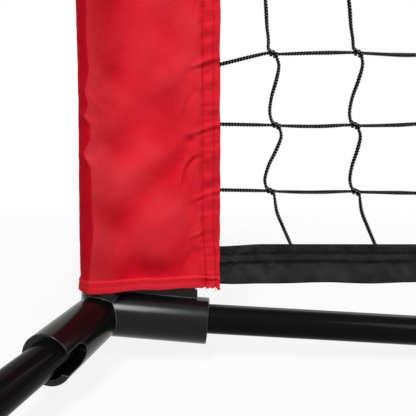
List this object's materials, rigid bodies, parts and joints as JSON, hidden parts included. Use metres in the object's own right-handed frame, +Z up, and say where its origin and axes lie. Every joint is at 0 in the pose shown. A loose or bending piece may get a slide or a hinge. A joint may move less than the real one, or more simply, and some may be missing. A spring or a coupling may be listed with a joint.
{
  "type": "portable lawn game net",
  "caption": "Free-standing lawn game net on a knock-down tube frame: ground rail, splayed legs, poles in fabric sleeves and a mesh net with taped edges.",
  "frame": {"origin": "on the ground, at the centre of the net's footprint", "axes": "+X along the net towards its right end, +Y to the rear, +Z up"},
  "size_m": [2.0818, 0.9796, 0.7925],
  "materials": {
    "connector_plastic": "semi-gloss moulded black plastic",
    "tube_paint": "gloss black powder coat on steel tube",
    "cap_rubber": "matt black rubber",
    "joint_plastic": "satin moulded black plastic",
    "button_steel": "zinc-plated steel",
    "spring_steel": "bare spring steel",
    "cap_plastic": "satin black plastic",
    "sleeve_fabric": "plain-woven red polyester with a soft sheen",
    "net_twine": "braided black polyethylene twine",
    "tape_webbing": "woven charcoal polyester tape, stitched"
  },
  "bodies": {
    "frame": {"connector_left": "connector_plastic", "connector_right": "connector_plastic", "rail_tube_left": "tube_paint", "rail_tube_middle": "tube_paint", "rail_tube_right": "tube_paint", "rail_joint_left": "joint_plastic", "rail_joint_right": "joint_plastic", "button_spring_left_outer": "spring_steel", "button_spring_left_inner": "spring_steel", "button_spring_right_outer": "spring_steel", "button_spring_right_inner": "spring_steel"},
    "net": {"pole_left": "tube_paint", "pole_right": "tube_paint", "pole_cap_left": "cap_plastic", "pole_cap_right": "cap_plastic", "sleeve_left": "sleeve_fabric", "sleeve_right": "sleeve_fabric", "net_mesh": "net_twine", "bottom_tape": "tape_webbing", "top_tape": "tape_webbing"},
    "leg_front_left": {"leg_tube_front_left": "tube_paint", "foot_cap_front_left": "cap_rubber"},
    "leg_front_right": {"leg_tube_front_right": "tube_paint", "foot_cap_front_right": "cap_rubber"},
    "leg_rear_left": {"leg_tube_rear_left": "tube_paint", "foot_cap_rear_left": "cap_rubber"},
    "leg_rear_right": {"leg_tube_rear_right": "tube_paint", "foot_cap_rear_right": "cap_rubber"},
    "button_left_outer": {"snap_button_left_outer": "button_steel"},
    "button_left_inner": {"snap_button_left_inner": "button_steel"},
    "button_right_outer": {"snap_button_right_outer": "button_steel"},
    "button_right_inner": {"snap_button_right_inner": "button_steel"}
  },
  "joints": [
    {"name": "net_lift", "type": "slide", "parent": "frame", "child": "net", "axis": [0, 0, 1], "range_m": [0, 0.09]},
    {"name": "leg_front_left_pull", "type": "slide", "parent": "frame", "child": "leg_front_left", "axis": [-0.2559, -0.965, -0.0582], "range_m": [0, 0.075]},
    {"name": "leg_front_right_pull", "type": "slide", "parent": "frame", "child": "leg_front_right", "axis": [0.2559, -0.965, -0.0582], "range_m": [0, 0.075]},
    {"name": "leg_rear_left_pull", "type": "slide", "parent": "frame", "child": "leg_rear_left", "axis": [-0.2559, 0.965, -0.0582], "range_m": [0, 0.075]},
    {"name": "leg_rear_right_pull", "type": "slide", "parent": "frame", "child": "leg_rear_right", "axis": [0.2559, 0.965, -0.0582], "range_m": [0, 0.075]},
    {"name": "button_left_outer_press", "type": "slide", "parent": "frame", "child": "button_left_outer", "axis": [-0.0582, 0, -0.9983], "range_m": [0, 0.005], "stiffness_N_per_m": 400, "springref_m": -0.001, "deforming": ["button_spring_left_outer"]},
    {"name": "button_left_inner_press", "type": "slide", "parent": "frame", "child": "button_left_inner", "axis": [0, 0, -1], "range_m": [0, 0.005], "stiffness_N_per_m": 400, "springref_m": -0.001, "deforming": ["button_spring_left_inner"]},
    {"name": "button_right_outer_press", "type": "slide", "parent": "frame", "child": "button_right_outer", "axis": [0.0582, 0, -0.9983], "range_m": [0, 0.005], "stiffness_N_per_m": 400, "springref_m": -0.001, "deforming": ["button_spring_right_outer"]},
    {"name": "button_right_inner_press", "type": "slide", "parent": "frame", "child": "button_right_inner", "axis": [0, 0, -1], "range_m": [0, 0.005], "stiffness_N_per_m": 400, "springref_m": -0.001, "deforming": ["button_spring_right_inner"]}
  ]
}
